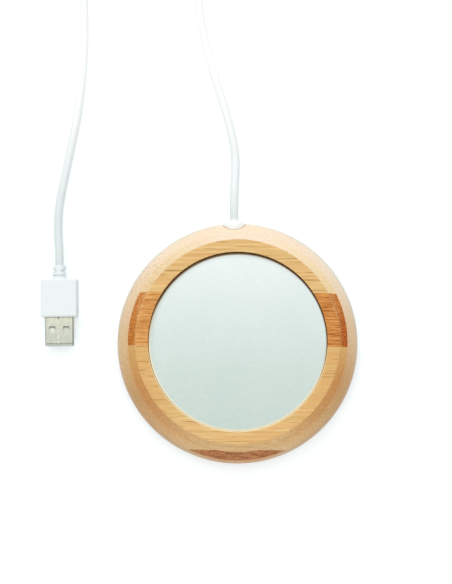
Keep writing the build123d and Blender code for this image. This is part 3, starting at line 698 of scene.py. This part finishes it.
def turned_tree():
    """Geometry nodes that turn an outline round the Z axis."""
    tree = bpy.data.node_groups.new("turned_body", "GeometryNodeTree")
    for name, side, kind in (
        ("Geometry", "INPUT", "Geometry"),
        ("Segments", "INPUT", "Int"),
        ("Lathe Radius", "INPUT", "Float"),
        ("Finish", "INPUT", "Material"),
        ("Geometry", "OUTPUT", "Geometry"),
    ):
        tree.interface.new_socket(name, in_out=side, socket_type="NodeSocket" + kind)
    given = tree.nodes.new("NodeGroupInput")
    circle = tree.nodes.new("GeometryNodeCurvePrimitiveCircle")
    swept = tree.nodes.new("GeometryNodeCurveToMesh")
    merged = tree.nodes.new("GeometryNodeMergeByDistance")
    real = tree.nodes.new("GeometryNodeRealizeInstances")
    painted = tree.nodes.new("GeometryNodeSetMaterial")
    result = tree.nodes.new("NodeGroupOutput")
    merged.inputs["Distance"].default_value = merge_distance
    for source, output, target, socket in (
        (given, "Segments", circle, "Resolution"),
        (given, "Lathe Radius", circle, "Radius"),
        (circle, "Curve", swept, "Curve"),
        (given, "Geometry", swept, "Profile Curve"),
        (swept, "Mesh", merged, "Geometry"),
        (merged, "Geometry", real, "Geometry"),
        (real, "Geometry", painted, "Geometry"),
        (given, "Finish", painted, "Material"),
        (painted, "Geometry", result, "Geometry"),
    ):
        tree.links.new(source.outputs[output], target.inputs[socket])
    return tree


turning = turned_tree()


def set_inputs(modifier, **values):
    """Sets a Geometry Nodes modifier's inputs by the identifiers of their named sockets."""
    for item in modifier.node_group.interface.items_tree:
        key = item.name.replace(" ", "_")
        if item.in_out == "INPUT" and key in values:
            modifier[item.identifier] = values[key]


def turned(name, outline, slot, segments=256):
    """Closed mesh of an outline turned round the Z axis."""
    profile = bpy.data.curves.new(name + "_profile", "CURVE")
    profile.dimensions = "3D"
    line = profile.splines.new("POLY")
    line.points.add(len(outline) - 1)
    for point, (radius, height) in zip(line.points, outline):
        point.co = (radius - lathe_radius, -height, 0, 1)
    line.use_cyclic_u = True
    piece = linked(name + "_blank", profile)
    lathe = piece.modifiers.new("turned", "NODES")
    lathe.node_group = turning
    set_inputs(lathe, Segments=segments, Lathe_Radius=lathe_radius, Finish=finishes[slot])
    return cleaned(applied(piece))


def cut(mesh, *cutters):
    """Mesh with closed cutter meshes taken out of it."""
    piece = linked("workpiece", mesh)
    tools = [linked("cutter", cutter) for cutter in cutters]
    for tool in tools:
        saw = piece.modifiers.new("saw", "BOOLEAN")
        saw.operation = "DIFFERENCE"
        saw.solver = "EXACT"
        saw.object = tool
    result = applied(piece)
    for tool in tools:
        bpy.data.objects.remove(tool)
    return result


def in_bore(mesh):
    """Turns a mesh made round the Z axis so that its axis is that of the cord's bore, along Y."""
    for vertex in mesh.vertices:
        left, ahead, up = vertex.co
        vertex.co = (cord_offset + left, up, cord_height - ahead)
    return mesh


def skinned(name, rings, capped=False):
    """Closed mesh through rings of equally many points: the last joins the first, or both are capped."""
    work = bmesh.new()
    loops = [[work.verts.new(point) for point in ring] for ring in rings]
    if capped:
        work.faces.new(loops[0])
        work.faces.new(loops[-1])
    for ring, following in zip(loops, loops[1:] + ([] if capped else loops[:1])):
        for index in range(len(ring)):
            after = (index + 1) % len(ring)
            work.faces.new((ring[index], ring[after], following[after], following[index]))
    bmesh.ops.recalc_face_normals(work, faces=work.faces)
    mesh = bpy.data.meshes.new(name)
    work.to_mesh(mesh)
    work.free()
    return mesh


def prism(name, outline, low, high):
    """Closed prism of an (x, y) outline between two heights."""
    return skinned(name, [[(x, y, z) for x, y in outline] for z in (low, high)], capped=True)


def round_box(half_width, half_height, corner, steps=6):
    """Outline of a rectangle with round corners, anticlockwise from the right side."""
    points = []
    for quarter, (side, up) in enumerate([(1, 1), (-1, 1), (-1, -1), (1, -1)]):
        for step in range(steps + 1):
            turn = math.pi / 2 * (quarter + step / steps)
            x = side * (half_width - corner) + corner * math.cos(turn)
            y = up * (half_height - corner) + corner * math.sin(turn)
            points.append((x, y))
    return points


# ---- Bamboo casing ----
def casing_outline():
    """Half section of the casing, from the rim's inner edge round to the plate's opening."""
    crease = Vector((crease_radius, casing_top))
    bevel_foot = Vector((casing_radius - side_width, casing_top - bevel_drop))
    widest = Vector((casing_radius, widest_height))
    chord = bevel_foot - crease
    sagitta = bevel_bulge * bevel_drop / chord.length
    bevel_lean = 2 * math.atan(2 * sagitta / chord.length)
    bevel = bow(crease, bevel_foot, bevel_lean)
    heading = math.atan2(chord.y, chord.x) - bevel_lean
    side_chord = widest - bevel_foot
    side_lean = heading - math.atan2(side_chord.y, side_chord.x)
    side = bow(bevel_foot, widest, side_lean)[1:]
    round_under = widest_height - stand_off
    under = []
    steps = 10
    for step in range(1, steps + 1):
        turn = math.pi / 2 * step / steps
        inward = casing_radius - round_under + round_under * math.cos(turn)
        under.append((inward, widest_height - round_under * math.sin(turn), 0))
    lip_under = casing_top - lip_thickness
    ledge_height = stand_off + cover_thickness
    # The crease's rounding takes the place of the bevel's first points.
    return rounded(
        [
            (opening_radius, casing_top, rim_round),
            (crease.x, crease.y, crease_round),
            *[(*point, 0) for point in bevel[2:] + side],
            *under,
            (rebate_radius, stand_off, wood_edge_round),
            (rebate_radius, ledge_height, 0),
            (cavity_radius, ledge_height, wood_edge_round),
            (cavity_radius, lip_under, 0),
            (opening_radius, lip_under, wood_edge_round),
        ]
    )


def drill(radius, near, far):
    """Round cutter along Y at the cord's exit."""
    outline = [Vector((0, near)), Vector((radius, near)), Vector((radius, far)), Vector((0, far))]
    return in_bore(turned("drill", outline, "bamboo", segments=96))


bush_step = bush_high.y - bush_head_depth
casing_mesh = cut(
    turned("casing", casing_outline(), "bamboo", segments=288),
    drill(bush_head_radius + bush_clearance, bush_step, casing_radius + drill_reach),
    drill(bush_neck_radius + bush_clearance, flange_radius - drill_reach, bush_step + drill_overlap),
)
shown("casing_of_bamboo", cleaned(casing_mesh), "bamboo", "bamboo_casing")

# ---- Warming plate ----
skirt_radius = plate_radius - plate_thickness
flange_top = flange_under + plate_thickness
plate_under = plate_top - plate_thickness
plate_outline = rounded(
    [
        (0, plate_under, 0),
        (0, plate_top, 0),
        (plate_radius, plate_top, plate_edge_round),
        (plate_radius, flange_top, plate_bend_round),
        (flange_radius, flange_top, flange_edge_round),
        (flange_radius, flange_under, flange_edge_round),
        (skirt_radius, flange_under, 0),
        (skirt_radius, plate_under, plate_bend_round),
    ],
    steps=8,
)
plate_mesh = turned("plate", plate_outline, "plate_aluminium")
for vertex in plate_mesh.vertices:
    vertex.co.y -= plate_shift
shown("plate", plate_mesh, "plate_aluminium", "warming_plate")

# ---- Cord bush ----
bush_face = bush_high.y - bush_dome_back
bush_bore_radius = cord_radius + bush_bore_play
bush_rim_radius = bush_head_radius - bush_lip_gap + bush_clearance
bush_outline = rounded(
    [
        (bush_bore_radius, bush_low.y, 0),
        (bush_bore_radius, bush_face, bush_bore_round),
        (bush_rim_radius, bush_face - bush_dome_drop, bush_edge_round),
        (bush_rim_radius, bush_step, bush_back_round),
        (bush_neck_radius, bush_step, 0),
        (bush_neck_radius, bush_low.y, bush_back_round),
    ],
    steps=10,
)
bush_mesh = in_bore(turned("bush", bush_outline, "white_pvc", segments=128))
bush = shown("bush", cleaned(bush_mesh), "white_pvc", "cord_bush", finish="bush")

# ---- Plug overmould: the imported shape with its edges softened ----
overmould_voxel = 0.17 * MM
overmould_passes = 4


def softened(node, voxel, passes):
    """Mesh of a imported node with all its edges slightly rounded."""
    mesh = cleaned(nodes[node].data.copy())
    piece = linked(node + "_blank", mesh)
    remesh = piece.modifiers.new("remesh", "REMESH")
    remesh.mode = "VOXEL"
    remesh.voxel_size = voxel
    smooth = piece.modifiers.new("smooth", "SMOOTH")
    smooth.factor = 0.5
    smooth.iterations = passes
    return cleaned(applied(piece), sharp_from=60)


overmould_mesh = softened("plug_overmould", overmould_voxel, overmould_passes)
overmould = shown("plug_grip", overmould_mesh, "white_pvc", "plug_overmould", finish="grip")

# ---- Plug shell: folded from sheet, with a rolled tip, a seam and two windows on each broad face ----
# In mm: how far in from the outside, and how far from the tip.
shell_stations = [
    (0.0, 18.3),
    (0.0, 1.08),
    (0.12, 0.99),
    (0.12, 0.91),
    (0.02, 0.82),
    (0.02, 0.5),
    (0.08, 0.2),
    (0.16, 0.06),
    (0.26, 0.0),
    (0.36, 0.08),
    (0.36, 0.4),
    (0.32, 0.9),
    (0.32, 1.4),
    (0.32, 18.3),
]
half_shell = Vector(((shell_high.x - shell_low.x) / 2, (shell_high.z - shell_low.z) / 2))
shell_rings = []
for inset, station in shell_stations:
    corner = max(shell_corner - inset * MM, shell_least_corner)
    ring = round_box(half_shell.x - inset * MM, half_shell.y - inset * MM, corner)
    shell_rings.append([(plug_x + x, shell_low.y + station * MM, plug_height + z) for x, z in ring])

cutters = []
for side in (-1, 1):
    middle = plug_x + side * window_spacing / 2
    window = round_box(window_size / 2, window_size / 2, window_corner)
    window = [(middle + x, window_y + y) for x, y in window]
    cutters.append(prism("window", window, shell_low.z - MM, shell_high.z + MM))
seam_ends = (shell_low.y - MM, overmould_low.y + seam_run_in)
seam_corners = ((-1, 0), (1, 0), (1, 1), (-1, 1))
notch_corners = ((-1, 1), (-1, -0.5), (0, -1), (1, -0.5), (1, 1))
seam = [(seam_x + seam_half * x, seam_ends[end]) for x, end in seam_corners]
notch = [(seam_x + notch_half * x, overmould_low.y + y * MM) for x, y in notch_corners]
cutters.append(prism("seam", seam, shell_high.z - seam_depth, shell_high.z + MM))
cutters.append(prism("notch", notch, shell_high.z - 2 * seam_depth, shell_high.z + MM))
shell_mesh = cleaned(cut(skinned("shell", shell_rings), *cutters), sharp_from=30)
shell = shown("shell_of_plug", shell_mesh, "plug_steel", "plug_shell")

# ---- Cord ----
coil_middle = Vector((-40.0, 181.0)) * MM
coil_tracks = [24.6 * MM, 21.0 * MM, 17.4 * MM]
coil_layers = [1.8 * MM, 5.4 * MM]
points_a_turn = 16
coil_turns = 5.5
# Control points in mm, from the bush to the coil and then from the coil to the plug.
casing_run = [
    (-0.75, 52.6, 9.0),
    (-0.75, 61.0, 9.0),
    (-0.1, 71.0, 5.0),
    (0.4, 81.5, 1.8),
    (-2.5, 96.0, 1.8),
    (-6.9, 110.5, 1.8),
    (-11.0, 125.0, 1.8),
    (-14.1, 139.5, 1.8),
    (-15.4, 153.5, 1.8),
    (-15.4, 166.0, 1.8),
]
plug_run = [
    (-64.6, 166.0, 5.4),
    (-64.6, 154.5, 5.4),
    (-64.3, 141.5, 3.2),
    (-64.7, 128.5, 1.8),
    (-65.7, 115.0, 1.8),
    (-67.3, 101.0, 1.8),
    (-70.2, 87.0, 1.8),
    (-73.2, 73.0, 1.8),
    (-76.0, 60.0, 1.8),
    (-76.4, 48.5, 1.8),
    (-75.6, 40.5, 4.0),
    (-75.6, 33.9, 4.0),
]
# Turn counts between which the cord moves from one radius or layer to the next.
track_changes = [(0.85, 1.0, 0, 1), (1.85, 2.0, 1, 2), (3.55, 3.7, 2, 1), (4.55, 4.7, 1, 0)]
layer_change = (2.7, 2.85)


def step_share(turns, start, end):
    """How much of a change from start to end is done, eased at both ends."""
    share = min(1, max(0, (turns - start) / (end - start)))
    return share * share * (3 - 2 * share)


def coil_points():
    """Control points of the coil's turns, from the casing's run to the plug's."""
    outward = 1 / math.cos(math.pi / points_a_turn)
    points = []
    for number in range(int(coil_turns * points_a_turn) + 1):
        turns = number / points_a_turn
        radius = coil_tracks[0]
        for start, end, old, new in track_changes:
            radius += (coil_tracks[new] - coil_tracks[old]) * step_share(turns, start, end)
        height = coil_layers[0] + (coil_layers[1] - coil_layers[0]) * step_share(turns, *layer_change)
        angle = 2 * math.pi * turns
        x = coil_middle.x + radius * outward * math.cos(angle)
        y = coil_middle.y + radius * outward * math.sin(angle)
        points.append((x, y, height))
    return points


def in_metres(points):
    """Points given in mm, in metres."""
    return [tuple(MM * value for value in point) for point in points]


def cord_line(name, points):
    """Smooth curve that has the points as its control points."""
    curve = bpy.data.curves.new(name, "CURVE")
    curve.dimensions = "3D"
    line = curve.splines.new("NURBS")
    line.points.add(len(points) - 1)
    for point, place in zip(line.points, points):
        point.co = (*place, 1)
    line.order_u = 3
    line.use_endpoint_u = True
    line.resolution_u = 6
    curve.bevel_depth = cord_radius
    curve.bevel_resolution = 6
    curve.use_fill_caps = True
    return curve


# ---- Tie: a flat band round the coil's strands, with its ends twisted together on top ----
tie_turn = math.radians(62)  # where it sits on the coil
# In mm: the band's section, proud of the strands and ahead along them, and half the twisted ends'.
tie_section = [(-0.2, -1.3), (0.1, -1.5), (0.2, -1.3), (0.2, 1.3), (0.1, 1.5), (-0.2, 1.3)]
tail_section = [(1.3, 0), (1.1, 0.4), (0.4, 0.42), (0, 0.25), (-0.4, 0.42), (-1.1, 0.4)]
tie_corner = 2.0
tie_slack = 0.1
tie_lift = 0.2 * MM
tail_length = 13 * MM
tail_lift = 1.3 * MM
tail_droop = 0.4 * MM
tail_taper = 0.35
tail_turns = 2.5
tail_rings = 40
strands_middle = (coil_tracks[0] + coil_tracks[-1]) / 2


def on_coil(outward, ahead, height):
    """Place beside the tie's spot on the coil: outward from the middle, ahead along the strands."""
    x = coil_middle.x + outward * math.cos(tie_turn) - ahead * math.sin(tie_turn)
    y = coil_middle.y + outward * math.sin(tie_turn) + ahead * math.cos(tie_turn)
    return (x, y, height)


def tie_band():
    """Rings of the band's section, round the coil's strands."""
    wound = (coil_tracks[0] - coil_tracks[-1]) / 2 + cord_radius
    stacked = coil_layers[1] / 2 + cord_radius / 2
    loops = []
    for proud, ahead in tie_section:
        loop = round_box(
            wound + (proud + tie_slack) * MM, stacked + proud * MM, (tie_corner + proud) * MM
        )
        loops.append([on_coil(strands_middle + x, ahead * MM, stacked + tie_lift + z) for x, z in loop])
    return list(zip(*loops))


def tie_tail():
    """Rings of the twisted ends, which lie along the coil."""
    section = tail_section + [(-x, -z) for x, z in tail_section]
    rings = []
    for number in range(tail_rings + 1):
        share = number / tail_rings
        height = coil_layers[1] + cord_radius + tail_lift - tail_droop * share
        turn = 2 * math.pi * tail_turns * share
        sine, cosine = math.sin(turn), math.cos(turn)
        taper = (1 - tail_taper * share) * MM
        ring = []
        for x, z in section:
            outward = strands_middle + taper * (x * cosine - z * sine)
            ring.append(on_coil(outward, tail_length * share, height + taper * (x * sine + z * cosine)))
        rings.append(ring)
    return rings


tie = shown("coil_tie", cleaned(skinned("tie", tie_band())), "white_pvc")
tie_end = shown("coil_tie_end", cleaned(skinned("tail", tie_tail(), capped=True)), "white_pvc")

cord_path = in_metres(casing_run) + coil_points() + in_metres(plug_run)
cord = linked("cord", cord_line("cord", cord_path))
cord.data.materials.append(finishes["jacket"])
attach(cord, BODY)
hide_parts("cord_casing_run", "cord_plug_run", "cord_coil")

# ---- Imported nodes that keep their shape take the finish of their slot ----
for subpart in frame["record"]["subparts"]:
    node = nodes[subpart["node"]]
    node.data.materials.clear()
    node.data.materials.append(finishes[subpart["material_slot"]])


# ---- Floor, light and camera ----
floor_reach = 4.0
floor_drop = 0.02 * MM  # keeps the floor just under what stands on it
floor_glow = 0.46
studio_level = 0.66
background_level = 1.0


def floor_finish():
    """White floor that keeps the soft shadows and is white to the camera."""
    finish = Finish("floor")
    return finish.shade(
        Base_Color=(0.7, 0.74, 0.76),
        Roughness=0.9,
        Emission_Color=(0.915, 0.975, 0.99),
        Emission_Strength=finish.background_rays() * floor_glow,
    )


def studio_world():
    """Plain pale light from all round, white where the background shows."""
    sky = Finish("studio", "worlds")
    levels = {"Value": sky.background_rays(), "To Min": studio_level, "To Max": background_level}
    strength = sky.node("MapRange", inputs=levels)
    backdrop = sky.node("Background", inputs={"Color": (1, 1, 1), "Strength": strength})
    return sky.ended(backdrop, "OutputWorld")


floor_mesh = bpy.data.meshes.new("floor")
floor_corners = [(x * floor_reach, y * floor_reach) for x, y in ((-1, -1), (1, -1), (1, 1), (-1, 1))]
floor_mesh.from_pydata([(x, y, -floor_drop) for x, y in floor_corners], [], [(0, 1, 2, 3)])
floor = linked("floor", floor_mesh)
floor_mesh.materials.append(floor_finish())
bpy.context.scene.world = studio_world()

# Soft rectangular lamps: name, place, what it faces, width, length and power.
for name, place, target, width, length, power in (
    ("key", (-0.08, 0.93, 0.46), (0, 0, 0), 1.0, 0.4, 3.35),
    ("card", (-0.22, 0.36, 0.75), (-0.22, 0.3, 0), 1.4, 0.6, 1.95),
    ("front", (-0.2, -0.8, 0.5), (0, 0, 0), 0.9, 0.4, 1.35),
):
    lamp = bpy.data.lights.new(name, "AREA")
    lamp.shape = "RECTANGLE"
    lamp.size = width
    lamp.size_y = length
    lamp.energy = power
    hung = linked(name, lamp)
    hung.location = place
    hung.rotation_euler = (Vector(target) - Vector(place)).to_track_quat("-Z", "Y").to_euler()

camera_target = Vector((-4.624, 21.409, 10.0)) * MM
camera_distance = 0.7
camera_elevation = math.radians(85.631)
camera_azimuth = math.radians(0.710)
camera_lens = 102.016  # in mm, on a sensor 36 mm along the render's long side

level = math.cos(camera_elevation)
toward = Vector(
    (math.sin(camera_azimuth) * level, math.cos(camera_azimuth) * level, -math.sin(camera_elevation))
)
eye_data = bpy.data.cameras.new("camera")
eye_data.lens = camera_lens
eye_data.sensor_width = 36.0
eye_data.clip_start = 0.05
eye_data.clip_end = 20.0
eye = linked("camera", eye_data)
eye.location = camera_target - toward * camera_distance
eye.rotation_euler = toward.to_track_quat("-Z", "Y").to_euler()
bpy.context.scene.camera = eye
bpy.context.scene.view_settings.view_transform = "Standard"
